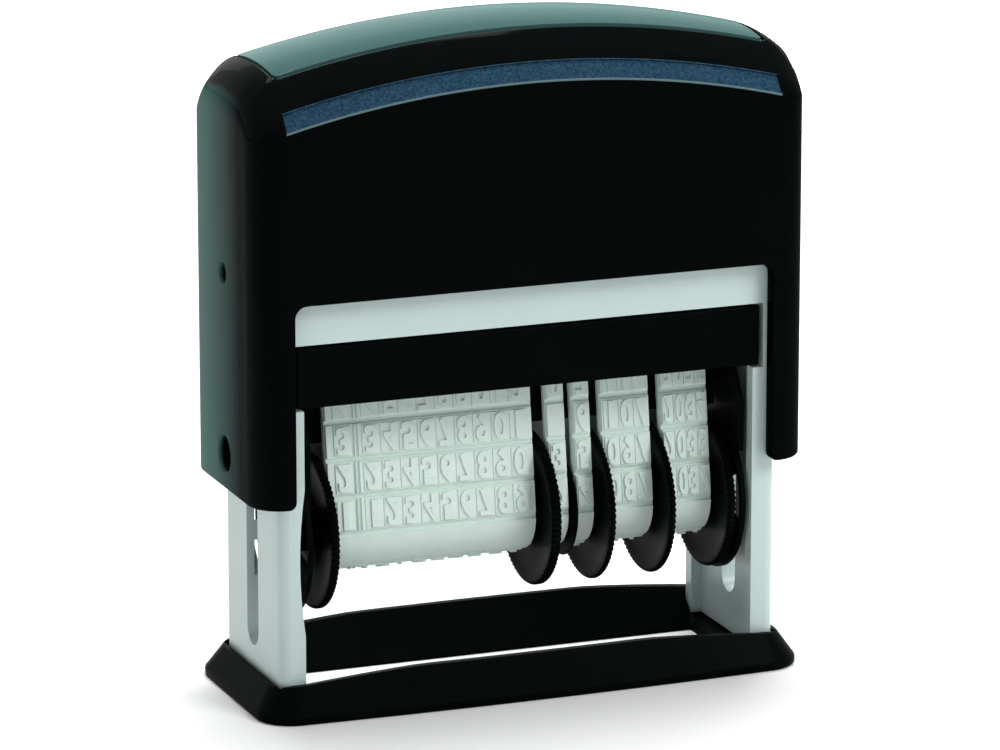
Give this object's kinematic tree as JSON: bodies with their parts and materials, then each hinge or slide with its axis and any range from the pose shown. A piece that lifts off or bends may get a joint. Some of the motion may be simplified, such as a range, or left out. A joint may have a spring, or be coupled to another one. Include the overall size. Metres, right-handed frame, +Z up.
{
  "type": "self-inking date stamp",
  "caption": "Self-inking band date stamp: a spring-up arched cap turns a carrier of rubber bands with thumbwheels from its ink pad to the paper, through an open foot.",
  "frame": {"origin": "on the floor, under the middle of the stamp", "axes": "+Z up along the cap's travel, +X to the right along the line of print, -Y towards the front"},
  "size_m": [0.071, 0.0288, 0.0822],
  "materials": {
    "cap_gloss": "glossy moulded black",
    "frame_pale": "satin pale grey-green",
    "black_satin": "satin moulded black",
    "band_rubber": "matt pale rubber",
    "steel": "drawn wire and rod",
    "pad_felt": "felt soaked with black ink"
  },
  "bodies": {
    "frame": {"frame": "frame_pale", "base": "black_satin", "return_spring_left": "steel", "return_spring_right": "steel"},
    "cap": {"cap_shell": "cap_gloss"},
    "cartridge": {"cartridge_tray": "black_satin", "ink_pad": "pad_felt"},
    "print_unit": {"carrier_plate_left": "black_satin", "carrier_plate_right": "black_satin", "type_platform": "black_satin", "wheel_axle": "steel", "spacer_disc": "black_satin", "band_phrase": "band_rubber", "band_tens": "band_rubber", "band_units": "band_rubber", "band_month": "band_rubber", "band_year": "band_rubber"},
    "wheel_phrase": {"thumbwheel_phrase": "black_satin"},
    "wheel_tens": {"thumbwheel_tens": "black_satin"},
    "wheel_units": {"thumbwheel_units": "black_satin"},
    "wheel_month": {"thumbwheel_month": "black_satin"},
    "wheel_year": {"thumbwheel_year": "black_satin"}
  },
  "joints": [
    {"name": "cap_press", "type": "slide", "parent": "frame", "child": "cap", "axis": [0, 0, -1], "range_m": [0, 0.021], "stiffness_N_per_m": 500, "springref_m": -0.01, "deforming": ["return_spring_left", "return_spring_right"]},
    {"name": "print_unit_turn", "type": "hinge", "parent": "cap", "child": "print_unit", "pos_m": [0, 0, 0.0307], "axis": [1, 0, 0], "range_deg": [0, 180]},
    {"name": "cartridge_slide", "type": "slide", "parent": "frame", "child": "cartridge", "axis": [0, -1, 0], "range_m": [0, 0.0235]},
    {"name": "phrase_wheel_turn", "type": "hinge", "parent": "print_unit", "child": "wheel_phrase", "pos_m": [-0.0247, 0, 0.0202], "axis": [1, 0, 0], "continuous": true},
    {"name": "tens_wheel_turn", "type": "hinge", "parent": "print_unit", "child": "wheel_tens", "pos_m": [0.0037, 0, 0.0202], "axis": [1, 0, 0], "continuous": true},
    {"name": "units_wheel_turn", "type": "hinge", "parent": "print_unit", "child": "wheel_units", "pos_m": [0.01105, 0, 0.0202], "axis": [1, 0, 0], "continuous": true},
    {"name": "month_wheel_turn", "type": "hinge", "parent": "print_unit", "child": "wheel_month", "pos_m": [0.0189, 0, 0.0202], "axis": [1, 0, 0], "continuous": true},
    {"name": "year_wheel_turn", "type": "hinge", "parent": "print_unit", "child": "wheel_year", "pos_m": [0.0267, 0, 0.0202], "axis": [1, 0, 0], "continuous": true}
  ],
  "couplings": [
    {"joint": "print_unit_turn", "follows": "cap_press", "rad_per_m": 149.59}
  ]
}
